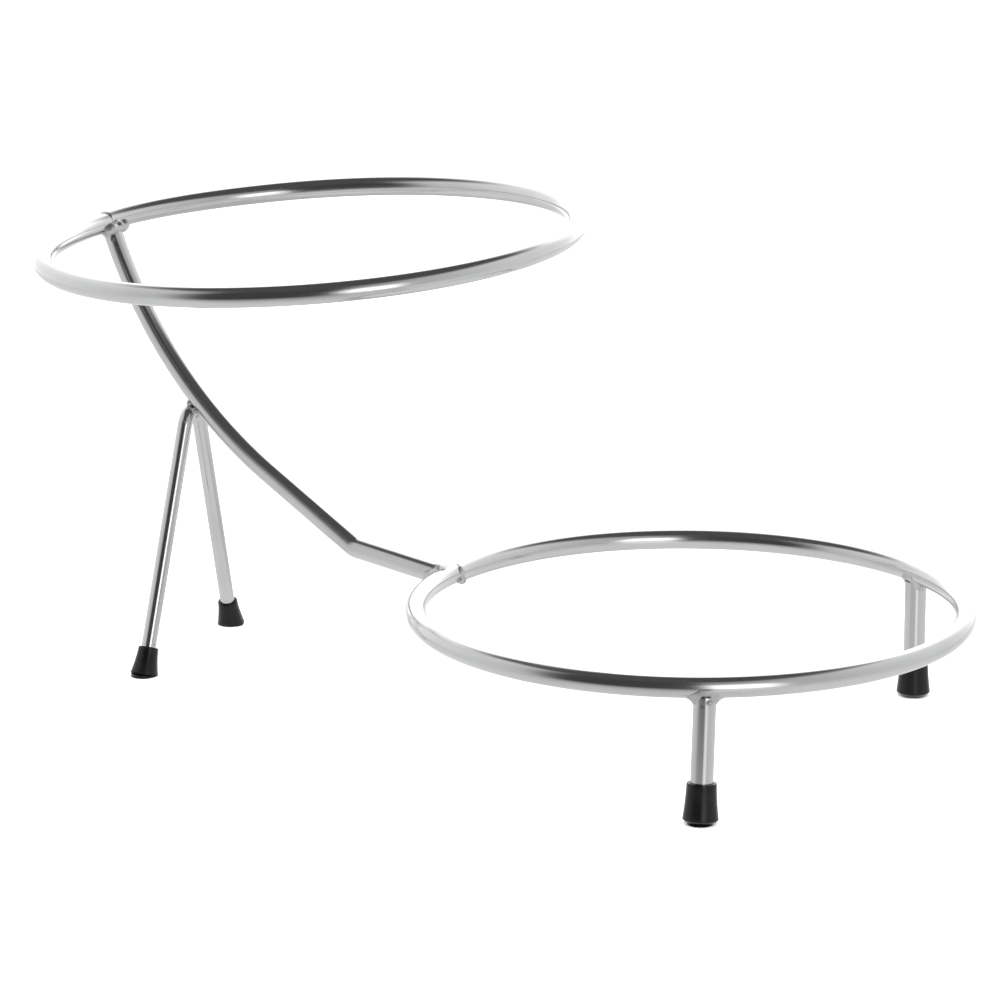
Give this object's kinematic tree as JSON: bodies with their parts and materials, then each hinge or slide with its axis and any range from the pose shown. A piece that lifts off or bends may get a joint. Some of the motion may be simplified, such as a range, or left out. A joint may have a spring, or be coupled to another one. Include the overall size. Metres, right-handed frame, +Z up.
{
  "type": "tiered cake stand",
  "caption": "Tiered wire stand with a high and a low ring joined by a bent arm, standing on capped legs, for round bowls or plates.",
  "frame": {"origin": "on the floor under the middle of the stand's overall box", "axes": "+X towards the low front tier, +Y to the stand's left, +Z up"},
  "size_m": [0.3851, 0.217, 0.188],
  "materials": {
    "bright_rod": "bright plated, polished",
    "weld_metal": "plated weld bead, uneven",
    "foot_cap": "black, satin"
  },
  "bodies": {
    "root": {"upper_ring": "bright_rod", "lower_ring": "bright_rod", "support_arm": "bright_rod", "rear_hairpin_leg": "bright_rod", "front_leg_left": "bright_rod", "front_leg_right": "bright_rod", "foot_cap_front_left": "foot_cap", "foot_cap_front_right": "foot_cap", "foot_cap_rear_left": "foot_cap", "foot_cap_rear_right": "foot_cap", "weld_arm_upper": "weld_metal", "weld_arm_lower": "weld_metal", "weld_hairpin": "weld_metal", "weld_front_left": "weld_metal", "weld_front_right": "weld_metal"}
  },
  "joints": []
}
